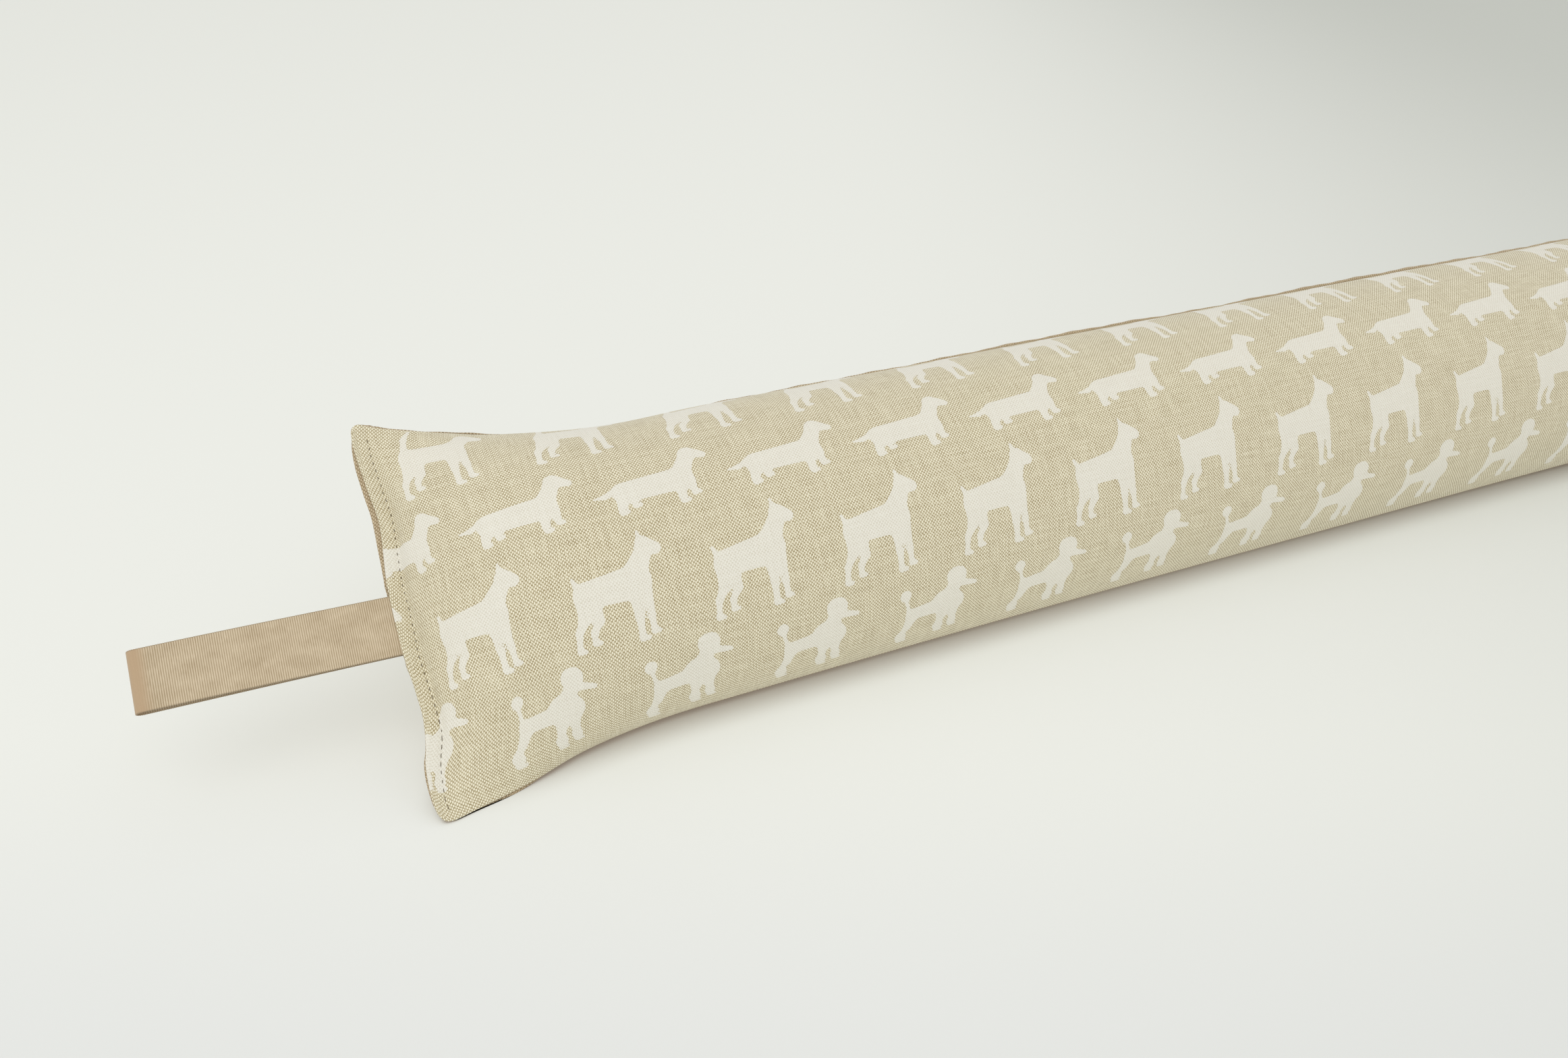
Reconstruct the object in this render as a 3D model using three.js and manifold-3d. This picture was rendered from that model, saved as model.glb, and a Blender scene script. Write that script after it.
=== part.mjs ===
import * as THREE from 'three';
import { mergeVertices } from 'three/addons/utils/BufferGeometryUtils.js';
import Module from 'manifold-3d';

// Draught excluder: a long linen tube, stuffed firm, with a folded ribbon loop in one end seam.
// Millimetres. X runs along the tube, Y across the floor, Z up.
// The printed panel faces -Y and up. The origin is on the floor, under the middle of the tube's axis.

// Driving sizes of the stuffed tube
const LENGTH = 860;                 // from end seam to end seam
const HALF_DEPTH = 47.3;            // full section, half of the way from printed panel to back panel
const TILT_DEG = 43.3;              // slope of the line through both long seams
const AXIS_HEIGHT = 50;             // the cloth that would be lower than the floor is pressed flat
const CLOTH_MARGIN = 3.2;           // four layers of cloth sewn together at an end seam

// How far each long seam lies from the axis, measured across the section
// The corners of an end seam stand out, and the sides draw in behind them
const SEAM_PROFILE = [
  { fromEnd: 0, upper: 82.2, lower: 82.6 },
  { fromEnd: 10, upper: 78.2, lower: 81.0 },
  { fromEnd: 32, upper: 72.7, lower: 76.5 },
  { fromEnd: 58, upper: 66.8, lower: 69.4 },
  { fromEnd: 90, upper: 61.8, lower: 65.2 },
  { fromEnd: 130, upper: 60.8, lower: 64.1 },
  { fromEnd: 230, upper: 61.6, lower: 63.1 },
  { fromEnd: 310, upper: 62.7, lower: 62.7 },
  { fromEnd: LENGTH / 2, upper: 62.7, lower: 62.7 },
];

// Sizes of an end, where the panels are sewn flat together
const END_TILT_DEG = 41;
const END_SHIFT_Y = -3.2;           // the end seam's middle, from the tube's axis
const END_RISE = 4.6;
const EDGE_OUT = 0.8;               // the edge's middle, out from the nominal end
const UPPER_FLARE = 1;              // and how much further out it runs near each corner
const LOWER_FLARE = 2.2;
const FLARE_LENGTH = 40;
const CORNER_ROUND = 4;
const MARGIN_WIDTH = 6.5;           // flat strip from the edge to the topstitching
const PULL_LENGTH = 90;             // the seam's slope and height settle over this length
const SWELL_LENGTH = 95;            // the filling swells to its full depth over this length

// Soft creases that run from an end seam into the cloth, one row for each
// along: place on the seam from its middle, towards the upper corner
const PUCKERS = [
  { face: 'front', along: 55, depth: 1.5, width: 8, reach: 30 },
  { face: 'front', along: 30, depth: 1.9, width: 9, reach: 38 },
  { face: 'front', along: 3, depth: 1.6, width: 8, reach: 34 },
  { face: 'front', along: -23, depth: 2.2, width: 9, reach: 42 },
  { face: 'front', along: -48, depth: 1.7, width: 8, reach: 36 },
  { face: 'back', along: 46, depth: 1.8, width: 9, reach: 36 },
  { face: 'back', along: 14, depth: 2.0, width: 9, reach: 40 },
  { face: 'back', along: -18, depth: 1.6, width: 8, reach: 32 },
  { face: 'back', along: -50, depth: 2.0, width: 9, reach: 38 },
];

// Driving sizes of the ribbon loop
const RIBBON_WIDTH = 24;
const RIBBON_THICK = 1;
const RIBBON_REACH = 96.5;          // from the nominal end to the fold
const RIBBON_ALONG = -4.0;          // middle of the ribbon, from the middle of the end seam
const RIBBON_LEAN_DEG = 1.3;        // the fold lies a little nearer to the upper corner
const RIBBON_SAG = 2.5;
const ROOT_HALF_GAP = 0.2;          // between the two layers, halved, at the seam
const FOLD_HALF_GAP = 1.7;          // and beside the fold
const ROOT_DEPTH = 6;               // how far the ribbon's ends run into the seam
const CLEARANCE = 0.3;
const POCKET_WALL = 0.95;           // cloth on each side of the ribbon's ends

// How finely the surfaces are cut
const PANEL_STEPS = 30;
const HALF_STATIONS = [
  0, 0.8, 2, 4, 6.5, 9, 12, 16, 21, 27, 34, 42, 52, 64, 78, 96, 130, 180, 230, 300, 370, LENGTH / 2];
const RIBBON_STEPS = 9;
const FOLD_STEPS = 8;

const radians = THREE.MathUtils.degToRad;
const END_X = LENGTH / 2;
const RIBBON_STACK = RIBBON_THICK + ROOT_HALF_GAP;   // half of the two layers and their gap
const POCKET_HALF = RIBBON_STACK + CLEARANCE;

// Smooth step from 0 to 1
function ease(t) {
  return THREE.MathUtils.smoothstep(t, 0, 1);
}

// 1 at the end seam and 0 where the section is full
function endPull(fromEnd) {
  return Math.pow(Math.max(0, 1 - fromEnd / PULL_LENGTH), 1.5);
}

// Smooth curve through one column of the seam table
function seamDistance(fromEnd, column) {
  const rows = SEAM_PROFILE;
  const slope = (i) => {
    const before = rows[Math.max(0, i - 1)];
    const after = rows[Math.min(rows.length - 1, i + 1)];
    return (after[column] - before[column]) / (after.fromEnd - before.fromEnd);
  };
  let i = 0;
  while (i < rows.length - 2 && rows[i + 1].fromEnd < fromEnd) i += 1;
  const span = rows[i + 1].fromEnd - rows[i].fromEnd;
  const t = THREE.MathUtils.clamp((fromEnd - rows[i].fromEnd) / span, 0, 1);
  const blend = ease(t);
  const startBend = span * slope(i) * t * (1 - t) * (1 - t);
  const endBend = span * slope(i + 1) * t * t * (1 - t);
  return rows[i][column] * (1 - blend) + rows[i + 1][column] * blend + startBend - endBend;
}

// Distance from the axis to a long seam, with the rounded corner of the end seam
function halfWidth(fromEnd, across) {
  const pulled = seamDistance(fromEnd, across > 0 ? 'upper' : 'lower');
  const corner = Math.max(0, 1 - fromEnd / CORNER_ROUND);
  return pulled - CORNER_ROUND * (1 - Math.sqrt(1 - corner * corner));
}

// How far the end seam's edge stands out from the nominal end
function edgeOut(across, fromEnd) {
  const flare = across > 0 ? UPPER_FLARE : LOWER_FLARE;
  return (EDGE_OUT + flare * Math.pow(across, 4)) * (1 - ease(fromEnd / FLARE_LENGTH));
}

// Half of the filling's depth in the middle of the section
function halfDepth(fromEnd) {
  const t = THREE.MathUtils.clamp((fromEnd - MARGIN_WIDTH) / SWELL_LENGTH, 0, 1);
  return HALF_DEPTH * Math.pow(1 - (1 - t) * (1 - t), 0.625);
}

// The seam allowance is thicker where the ribbon's ends are sewn in
function marginHalf(along, fromEnd, nearEnd) {
  const half = CLOTH_MARGIN / 2;
  if (!nearEnd) return half;
  const beside = (Math.abs(along - RIBBON_ALONG) - RIBBON_WIDTH / 2 - 1) / 5;
  const inside = (fromEnd - MARGIN_WIDTH - 2) / 6;
  const swell = (1 - ease(beside)) * (1 - ease(inside));
  return half + (POCKET_HALF + POCKET_WALL - half) * swell;
}

// How far the creases draw the cloth in
function puckerDepth(face, along, fromEnd, sign) {
  let total = 0;
  for (const crease of PUCKERS) {
    if (crease.face !== face) continue;
    const across = (along - sign * crease.along) / crease.width;
    const start = ease((fromEnd - MARGIN_WIDTH) / 7);
    const fade = 1 - ease((fromEnd - MARGIN_WIDTH) / crease.reach);
    total += crease.depth * Math.exp(-across * across) * start * fade;
  }
  return total;
}

// A point of the cloth: the station's distance from its end, and the place across
// across runs from -1 at the lower long seam to 1 at the upper one
function clothPoint(x, fromEnd, across, face) {
  const nearEnd = x < 0;
  const pull = endPull(fromEnd);
  const along = halfWidth(fromEnd, across) * across;
  const power = 1 + ease(fromEnd / SWELL_LENGTH);
  const lens = halfDepth(fromEnd) * Math.pow(Math.max(0, 1 - across * across), 1 / power);
  const lip = marginHalf(along, fromEnd, nearEnd) * Math.sqrt(Math.max(0, 1 - Math.pow(across, 40)));
  const crease = puckerDepth(face, along, fromEnd, nearEnd ? 1 : -1);
  const swell = Math.max(Math.hypot(lens, lip) - crease, lip);
  const out = face === 'front' ? swell : -swell;

  const tilt = radians(TILT_DEG + (END_TILT_DEG - TILT_DEG) * pull);
  const y = END_SHIFT_Y * pull + along * Math.cos(tilt) - out * Math.sin(tilt);
  const z = AXIS_HEIGHT + END_RISE * pull + along * Math.sin(tilt) + out * Math.cos(tilt);
  const outward = edgeOut(across, fromEnd);
  return [x + (nearEnd ? -outward : outward), y, z];
}

// Distances of the sections from the near end
function sectionStations() {
  const farHalf = HALF_STATIONS.slice(0, -1).map((d) => LENGTH - d).reverse();
  return [...HALF_STATIONS, ...farHalf];
}

// The whole tube as one closed skin: rings of points, then both end faces
function tubeSkin() {
  const positions = [];
  const faces = [];
  const ring = 2 * PANEL_STEPS;
  const stations = sectionStations();
  for (const station of stations) {
    const x = station - END_X;
    const fromEnd = Math.min(station, LENGTH - station);
    for (let i = 0; i < ring; i += 1) {
      const across = -Math.cos(Math.PI * i / PANEL_STEPS);
      const face = i <= PANEL_STEPS ? 'front' : 'back';
      positions.push(...clothPoint(x, fromEnd, across, face));
    }
  }
  for (let k = 0; k < stations.length - 1; k += 1) {
    for (let i = 0; i < ring; i += 1) {
      const a = k * ring + i;
      const b = k * ring + (i + 1) % ring;
      faces.push(a, a + ring, b, b, a + ring, b + ring);
    }
  }
  const lastRing = (stations.length - 1) * ring;
  for (let i = 0; i < PANEL_STEPS; i += 1) {
    const front = [i, i + 1];
    const back = [(ring - i) % ring, ring - i - 1];
    for (const [base, flip] of [[0, true], [lastRing, false]]) {
      const quad = [front[0], back[0], back[1], front[1]].map((v) => v + base);
      if (flip) quad.reverse();
      if (i > 0) faces.push(quad[0], quad[1], quad[2], quad[2], quad[3], quad[0]);
      else faces.push(...quad.filter((v, n) => quad.indexOf(v) === n));
    }
  }
  const geometry = new THREE.BufferGeometry();
  geometry.setAttribute('position', new THREE.Float32BufferAttribute(positions, 3));
  geometry.setIndex(faces);
  return geometry;
}

// Turn a geometry into a solid that can be cut, and back
function toSolid(wasm, geometry) {
  const bare = geometry.clone();
  bare.deleteAttribute('normal');
  bare.deleteAttribute('uv');
  const merged = mergeVertices(bare);
  const vertProperties = new Float32Array(merged.attributes.position.array);
  const triVerts = new Uint32Array(merged.index.array);
  return new wasm.Manifold(new wasm.Mesh({ numProp: 3, vertProperties, triVerts }));
}

function toGeometry(solid) {
  const mesh = solid.getMesh();
  const geometry = new THREE.BufferGeometry();
  geometry.setAttribute('position', new THREE.Float32BufferAttribute(mesh.vertProperties, 3));
  geometry.setIndex([...mesh.triVerts]);
  geometry.computeVertexNormals();
  return geometry;
}

// The middle of the ribbon on the near end seam, and the seam's slope
function ribbonSeat() {
  const tilt = radians(END_TILT_DEG);
  return {
    tilt,
    y: END_SHIFT_Y + RIBBON_ALONG * Math.cos(tilt),
    z: AXIS_HEIGHT + END_RISE + RIBBON_ALONG * Math.sin(tilt),
  };
}

// The stuffed tube, flat where it lies on the floor, with a slot for the ribbon's ends
function stuffedTube(wasm) {
  const floorDepth = 60;
  const floor = new THREE.BoxGeometry(2 * LENGTH, 8 * HALF_DEPTH, floorDepth);
  floor.translate(0, 0, -floorDepth / 2);

  const seat = ribbonSeat();
  const slotDepth = ROOT_DEPTH + CLEARANCE;
  const slotLead = 10;
  const slot = new THREE.BoxGeometry(
    slotDepth + slotLead, RIBBON_WIDTH + 2 * CLEARANCE, 2 * POCKET_HALF);
  slot.translate(-END_X + (slotDepth - slotLead) / 2, 0, 0);
  slot.rotateX(seat.tilt);
  slot.translate(0, seat.y, seat.z);

  const solid = toSolid(wasm, tubeSkin())
    .subtract(toSolid(wasm, floor))
    .subtract(toSolid(wasm, slot));
  const linen = new THREE.MeshStandardMaterial({ color: '#cbbd9f', roughness: 0.92, metalness: 0 });
  const mesh = new THREE.Mesh(toGeometry(solid), linen);
  mesh.name = 'stuffed_tube';
  return mesh;
}

// Side view of the folded ribbon: two layers a little apart that meet in a round fold
// x is the distance out of the seam and y the place across the layers
function ribbonOutline() {
  const foldRadius = FOLD_HALF_GAP + RIBBON_THICK;
  const straight = RIBBON_REACH - foldRadius;
  const sag = (out) => -RIBBON_SAG * Math.pow(Math.max(0, out) / RIBBON_REACH, 2);
  const halfGap = (out) => ROOT_HALF_GAP + (FOLD_HALF_GAP - ROOT_HALF_GAP) * ease(out / straight);
  const side = (offset) => {
    const points = [];
    for (let i = 0; i <= RIBBON_STEPS; i += 1) {
      const out = -ROOT_DEPTH + (straight + ROOT_DEPTH) * i / RIBBON_STEPS;
      points.push([out, halfGap(out) + offset]);
    }
    const radius = FOLD_HALF_GAP + offset;
    for (let i = 1; i < FOLD_STEPS; i += 1) {
      const turn = Math.PI / 2 * i / FOLD_STEPS;
      points.push([straight + radius * Math.sin(turn), radius * Math.cos(turn)]);
    }
    const tip = [straight + radius, 0];
    const mirrored = points.map(([out, level]) => [out, -level]).reverse();
    return [...points, tip, ...mirrored];
  };
  const loop = [...side(RIBBON_THICK), ...side(0).reverse()];
  return loop.map(([out, level]) => new THREE.Vector2(out, level + sag(out)));
}

// The ribbon loop, whose ends are sewn into the near end seam
function ribbonLoop() {
  const geometry = new THREE.ExtrudeGeometry(new THREE.Shape(ribbonOutline()), {
    depth: RIBBON_WIDTH, steps: 1, bevelEnabled: false,
  });
  geometry.translate(0, 0, -RIBBON_WIDTH / 2);
  geometry.rotateX(Math.PI / 2);
  geometry.rotateZ(Math.PI - radians(RIBBON_LEAN_DEG));

  const grosgrain = new THREE.MeshStandardMaterial({ color: '#b59e82', roughness: 0.75, metalness: 0 });
  const mesh = new THREE.Mesh(geometry, grosgrain);
  mesh.name = 'ribbon_loop';
  const seat = ribbonSeat();
  mesh.position.set(-END_X, seat.y, seat.z);
  mesh.rotation.x = seat.tilt;
  return mesh;
}

const wasm = await Module();
wasm.setup();

const excluder = new THREE.Group();
excluder.name = 'draught_excluder';
excluder.add(stuffedTube(wasm), ribbonLoop());

export default excluder;
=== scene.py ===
import math

import bpy
import numpy as np
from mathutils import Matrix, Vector
from mathutils.geometry import delaunay_2d_cdt


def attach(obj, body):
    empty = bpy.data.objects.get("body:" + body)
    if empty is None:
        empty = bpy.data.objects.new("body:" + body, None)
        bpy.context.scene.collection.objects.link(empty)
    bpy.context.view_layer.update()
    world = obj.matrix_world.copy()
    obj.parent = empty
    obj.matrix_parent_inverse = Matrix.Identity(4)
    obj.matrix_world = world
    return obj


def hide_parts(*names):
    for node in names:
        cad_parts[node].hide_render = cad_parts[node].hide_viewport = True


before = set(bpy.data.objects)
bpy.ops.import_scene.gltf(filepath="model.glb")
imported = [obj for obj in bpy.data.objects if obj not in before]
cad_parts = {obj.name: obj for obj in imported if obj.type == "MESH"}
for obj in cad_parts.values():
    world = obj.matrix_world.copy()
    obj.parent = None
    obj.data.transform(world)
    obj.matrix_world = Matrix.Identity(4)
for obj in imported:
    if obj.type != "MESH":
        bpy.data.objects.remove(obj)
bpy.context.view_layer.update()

# Draught excluder: a long linen tube printed with rows of dogs, stuffed firm, with a ribbon loop
# The shapes are worked out in millimetres, as in the part's source, and each mesh is made in metres.
# s is the distance from the near end, where the ribbon is, and w runs over a panel from the lower long
# seam to the upper one. along is measured on the seam's plane, from its middle to the upper corner.
# flat is a place on the cloth before it was sewn, from the near end and from the lower seam.
MM = 0.001
BODY = "root"

# Driving sizes of the stuffed tube, as in the part's source
LENGTH = 860.0
HALF_DEPTH = 47.3
TILT_DEG = 43.3
AXIS_HEIGHT = 50.0
CLOTH_MARGIN = 3.2
SEAM_PROFILE = {
    "from_end": [0, 10, 32, 58, 90, 130, 230, 310, LENGTH / 2],
    "upper": [82.2, 78.2, 72.7, 66.8, 61.8, 60.8, 61.6, 62.7, 62.7],
    "lower": [82.6, 81.0, 76.5, 69.4, 65.2, 64.1, 63.1, 62.7, 62.7],
}
END_TILT_DEG = 41.0
END_SHIFT_Y = -3.2
END_RISE = 4.6
EDGE_OUT = 0.8
UPPER_FLARE = 1.0
LOWER_FLARE = 2.2
FLARE_LENGTH = 40.0
CORNER_ROUND = 4.0
MARGIN_WIDTH = 6.5
PULL_LENGTH = 90.0
SWELL_LENGTH = 95.0

# Driving sizes of the ribbon loop, as in the part's source
RIBBON_WIDTH = 24.0
RIBBON_THICK = 1.0
RIBBON_REACH = 96.5
RIBBON_ALONG = -4.0
RIBBON_LEAN_DEG = 1.3
RIBBON_SAG = 2.5
ROOT_HALF_GAP = 0.2
FOLD_HALF_GAP = 1.7
ROOT_DEPTH = 6.0

# The ribbon's own cloth
RIBBON_SHOWN_THICK = 0.55
RIB_PITCH = 0.82
RIB_RISE = 0.045
RIB_SCALLOP = 0.05                  # how far the ribs move the ribbon's edges
FOLD_PLACE = ROOT_DEPTH + RIBBON_REACH      # along the ribbon, about

# Seams and hems
SEAM_HALF = 0.75                    # half of a long seam's thickness
SEAM_THINS = (8.0, 34.0)            # where an end's thicker seam starts to thin, and over what length
HEM_GAP = 0.12                      # between a hem and the seam's middle
RIBBON_STACK = RIBBON_THICK + ROOT_HALF_GAP
POCKET_HALF = RIBBON_STACK + 0.3    # half of the room that the hems leave for the ribbon
POCKET_WALL = 0.95
EDGE_WAVE = {                       # how far the hem of an end stands out of its smooth line
    "along": [-86, -80, -76, -70, -64, -59, -54, -47, -41, -34, -27, -20,
              -14, 8, 18, 27, 36, 43, 49, 57, 65, 74, 80, 86],
    "out": [-1.7, -1.5, -0.3, 0.5, 0.7, 0.4, -0.7, -1.6, -2.0, -1.6, -1.1, -0.3,
            0.1, 0.1, -0.7, -1.8, -2.7, -2.6, -1.9, -1.3, -0.7, -0.7, -1.4, -1.6],
}
WAVE_LENGTH = 16.0
SEAM_RISE = {                       # how much further out the upper long seam lies than in the fit
    "s": [0, 100, 140, 200, 260, 330, 600, 690, 770, 860],
    "out": [0, 0.2, 1.5, 1.5, 0.8, 0.5, 0.5, 1.4, 0.8, 0],
}
UPPER_BEAD = {                      # how far the back cloth shows past the upper long seam
    "s": [0, 60, 100, 140, 250, 320, 370, 416, 460, 506, 540, 580, 631, 686, 760, 860],
    "out": [1.0, 1.3, 1.4, 2.2, 2.3, 2.7, 2.8, 2.0, 2.5, 3.0, 3.0, 3.1, 2.8, 2.9, 2.2, 1.0],
}
LOWER_BEAD = 2.2
BEAD_TWIST = 0.12                   # how far each stitch moves the bead in and out
BEAD_SWAY = (0.25, 37)              # how far it moves besides, and over what length
BACK_SHOWS = {                      # how far it shows past the front one's hem at an end
    "along": [-86, -78, -64, -50, -20, 0, 12, 20, 28, 36, 48, 60, 71, 76, 86],
    "out": [0.1, 0.15, 0.85, 0.2, 0.15, 0.5, 1.0, 1.4, 2.2, 2.6, 2.3, 2.0, 1.0, 0.1, 0.1],
}
PUCKERS = {                         # soft creases from an end seam into the cloth, read in this order
    "front": {
        "along": [55, 30, 3, -23, -48], "depth": [1.5, 1.9, 1.6, 2.2, 1.7],
        "width": [8, 9, 8, 9, 8], "reach": [30, 38, 34, 42, 36],
    },
    "back": {
        "along": [46, 14, -18, -50], "depth": [1.8, 2.0, 1.6, 2.0],
        "width": [9, 9, 8, 9], "reach": [36, 40, 32, 38],
    },
}
PUCKER_START = 7.0                  # over what length a crease sets in

# The stitches
STITCH_INSET = 4.9
STITCH_WANDER = {                   # how much further in the stitch line runs
    "along": [-82, -76, -70, -63, -57, -48, -38, -20, 0, 20, 40, 60, 82],
    "in": [-1.8, -1.5, -1.1, -0.5, 0.1, 0.8, 0.1, 0, 0.6, 0.1, 0.3, 0.1, 0.3],
}
STITCH_PITCH = 3.3
STITCH_LENGTH = 1.5
LOW_STITCH_EXTRA = 1.0              # near the lower corner the stitches are longer
STITCH_DIP = (0.4, 0.9)             # how deep and how wide the cloth sinks along them
THREAD_RADIUS = 0.145
THREAD_RISE = 0.25
THREAD_SUNK = 0.15                  # how far a stitch's ends go into the cloth

# The cloth as it was cut
PANEL_WIDTH = 173.7                 # from long seam to long seam
GATHERED = 0.65                     # how much of a change in girth is gathered and not cut
LOWER_DRAW = {"most": 5.5, "centre": 39, "width": 23, "reach": 75}
UPPER_DRAW = {"most": 3.2, "start": 70, "width": 30, "reach": 110}
LOWER_DROP = {"most": 1.8, "centre": 28, "width": 38, "reach": 110}
FLOOR_SOFTNESS = 0.5
FLOOR_CLEAR = 0.02                  # between the turned-in hems and the floor

# How finely a panel is worked out: places near an end, and the step between the ends
NEAR_ROWS = [0, 0.12, 0.5, 1.1, 1.9, 2.8, 3.6, 4.3, 5, 5.7, 6.5, 7.6, 9.2, 11.4, 14.2, 17.6, 21.6,
             26, 30.6, 35.4, 40.2]
NEAR_SPRINGS = [5, 8, 11.2, 14.6, 18.2, 22, 26, 30.6, 35.4]
ROW_STEP = 4.8
COLUMNS = 40
NEAR_BORDER = [0, 0.12, 0.3, 0.6, 1.0, 1.6, 2.4, 3.2, 4.2, 5.4, 6.8, 8.4, 10.2, 12.2]
BORDER_STEP = 2.6
END_POINTS = 111
NEAR_POINTS = [1.2, 2.4, 3.4, 4.2, 4.7, 5.0, 5.4, 6.0, 6.8, 7.8, 9.2, 11.0, 13.2, 15.6]
FRONT_STEP = 3.0
BACK_STEP = 4.0
FINE_REACH = 12.0                   # up to here from an end the points are closer together
FINE_STEP = 1.8
OUTLINE_CLEAR = 1.15                # between the print's outlines and the other points

# The cloth simulation that presses the panels out and puckers them behind the stitches
SETTLE_FRAMES = 20
SETTLE_CAP = 2.2                    # how far a point may move from its place
CREASE_GAIN = 1.6
END_CREASE_GAIN = 1.4               # added to it near an end
END_CREASE_REACH = 60.0
SLACK_REACH = 70.0                  # how far from the stitches the gathered cloth has slack
SPRINGS = {
    "quality": 6, "mass": 0.3, "tension_stiffness": 15, "compression_stiffness": 15,
    "shear_stiffness": 5, "bending_stiffness": 0.4, "use_pressure": True,
    "uniform_pressure_force": 4, "vertex_group_mass": "held",
    "vertex_group_shrink": "gathered", "shrink_min": 0, "shrink_max": -0.07,
}

# The print: four kinds of ordinary dog in rows, each built up from tapered strokes on plain
# proportions. A stroke runs through points given as x, y and half of its width, from the rear foot,
# with x along the panel and y towards the upper long seam.
DOGS = {
    "boxer": {
        "trunk": [(9, 22, 5.2), (28, 23.5, 6.6)],
        "neck": [(29, 27, 4.8), (34, 35, 3.2)],
        "head": [(34.5, 36.5, 3.5), (38.5, 34.5, 2.5)],
        "ear": [(33.5, 38.5, 1.4), (33, 42.5, 0.5)],
        "tail": [(6, 25, 1.2), (4.6, 29, 0.7)],
        "hind_leg": [(8, 20, 4.3), (6.5, 13.5, 2.4), (3, 8, 1.3), (2, 1.4, 1.1), (4.2, 1, 0.9)],
        "hind_leg_behind": [
            (11, 17.5, 2.8), (11.6, 11.5, 1.8), (8.8, 7.2, 1.2), (8.6, 3.4, 1), (10.7, 3.2, 0.8)],
        "fore_leg": [(27.5, 20, 3.4), (27, 10, 1.6), (26.8, 1.5, 1.2), (29.2, 1.1, 0.9)],
        "fore_leg_behind": [(31.2, 19, 2.6), (31.6, 10, 1.4), (31.8, 3.4, 1.1), (33.9, 3.1, 0.8)],
    },
    "dachshund": {
        "trunk": [(5, 9.5, 4.6), (29, 10.5, 5.2)],
        "neck": [(30, 13, 4), (34.5, 20.5, 3)],
        "head": [(35.3, 21.8, 3.2), (41, 19.4, 1.6)],
        "ear": [(33.6, 22, 2), (32.4, 17, 1.7)],
        "tail": [(2, 11, 1.6), (-3, 9.2, 0.9), (-7.5, 9, 0.4)],
        "hind_leg": [(4.5, 8, 3.6), (2.6, 3.2, 1.6), (2.2, 1.1, 1.1), (4.4, 1, 0.9)],
        "hind_leg_behind": [(8.5, 7, 2.4), (8.2, 3, 1.1), (10.2, 2.8, 0.8)],
        "fore_leg": [(28, 8, 3), (27.4, 2.4, 1.4), (27.4, 0.6, 1.1), (29.6, 0.4, 0.9)],
        "fore_leg_behind": [(32.2, 8, 2.4), (32.8, 3, 1.1), (34.9, 2.7, 0.8)],
    },
    "poodle": {
        "trunk": [(7, 18, 3.2), (18, 19, 3.8)],
        "mane": [(22, 20.5, 6.2), (25.5, 19.5, 6)],
        "neck": [(25, 25, 3.6), (27, 29.5, 2.8)],
        "topknot": [(27, 32.2, 4.2), (28.2, 32.4, 4.1)],
        "muzzle": [(29.5, 28.4, 1.8), (36.4, 27, 1.1)],
        "tail": [(5, 19.5, 1), (3.4, 26, 0.7)],
        "tail_pom": [(3, 28.2, 2.5), (3.3, 28.6, 2.5)],
        "hind_leg": [(6.8, 17, 3.2), (4.8, 10.5, 1.8), (2.8, 7, 1.2), (2.8, 1.4, 1.2), (5.4, 1.1, 1)],
        "hind_cuff": [(2.7, 5, 2.6), (3.1, 4.2, 2.6)],
        "fore_leg": [(21.5, 14, 3), (20.8, 9, 1.4), (20.8, 2.6, 1.1), (23, 2.2, 0.9)],
        "fore_cuff": [(20.7, 6.2, 2.5), (21, 5.6, 2.5)],
        "fore_leg_behind": [(26.6, 13.5, 2.6), (27.2, 9, 1.3), (27.4, 4.2, 1), (29.5, 3.9, 0.8)],
        "fore_cuff_behind": [(27.2, 7.4, 2.1), (27.4, 6.9, 2.1)],
    },
    "hound": {
        "trunk": [(8.5, 21.5, 4.6), (25.5, 22, 5.6)],
        "neck": [(27, 24.5, 4), (31, 29.5, 3)],
        "head": [(31.6, 30.4, 3.2), (37.6, 28.2, 1.7)],
        "ear": [(30.2, 31, 1.9), (29.4, 26.8, 1.8)],
        "tail": [(7, 25, 1.5), (7.8, 32, 1.1), (10.4, 38, 0.6)],
        "hind_leg": [(7.5, 19.5, 4), (5.4, 13, 2.3), (2.4, 8, 1.3), (1.6, 1.4, 1.1), (3.8, 1, 0.9)],
        "hind_leg_behind": [
            (10.8, 17.5, 2.6), (10.4, 11.5, 1.7), (8, 7.8, 1.2), (7.6, 4.1, 1), (9.7, 3.8, 0.8)],
        "fore_leg": [(25, 19, 3.2), (24.4, 10, 1.5), (24.2, 1.6, 1.1), (26.4, 1.2, 0.9)],
        "fore_leg_behind": [(28.8, 19, 2.5), (29.6, 11, 1.4), (30, 3.4, 1.1), (32.1, 3.1, 0.8)],
    },
}
PITCH = 56.0                        # of the print, along the panel
ROW_START = {                       # the rear foot of the first dog of each row, on the flat cloth
    "hound": (6.0, 131.0), "dachshund": (30.1, 99.0), "boxer": (2.0, 49.1), "poodle": (26.8, 9.1),
}
STROKE_BLEND = 0.5                  # how softly the strokes run into each other
OUTLINE_GRID = 0.4
OUTLINE_ROOM = 8.0                  # how far the grid reaches past a dog's strokes
OUTLINE_STEP = 0.95
OUTLINE_SIDE = 0.42                 # how far beside an outline the mesh has points
INK_RANGE = 2.0                     # how far from an outline the print's distance is kept

# The weave
YARN_PITCH = (0.725, 0.785)         # along and across the panel
YARN_LEAN = 0.03


def ease(t):
    t = np.clip(t, 0.0, 1.0)
    return t * t * (3 - 2 * t)


def bump(t):
    """1 at 0, fading smoothly to 0 at 1 and beyond."""
    return 1 - ease(np.abs(t))


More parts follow.
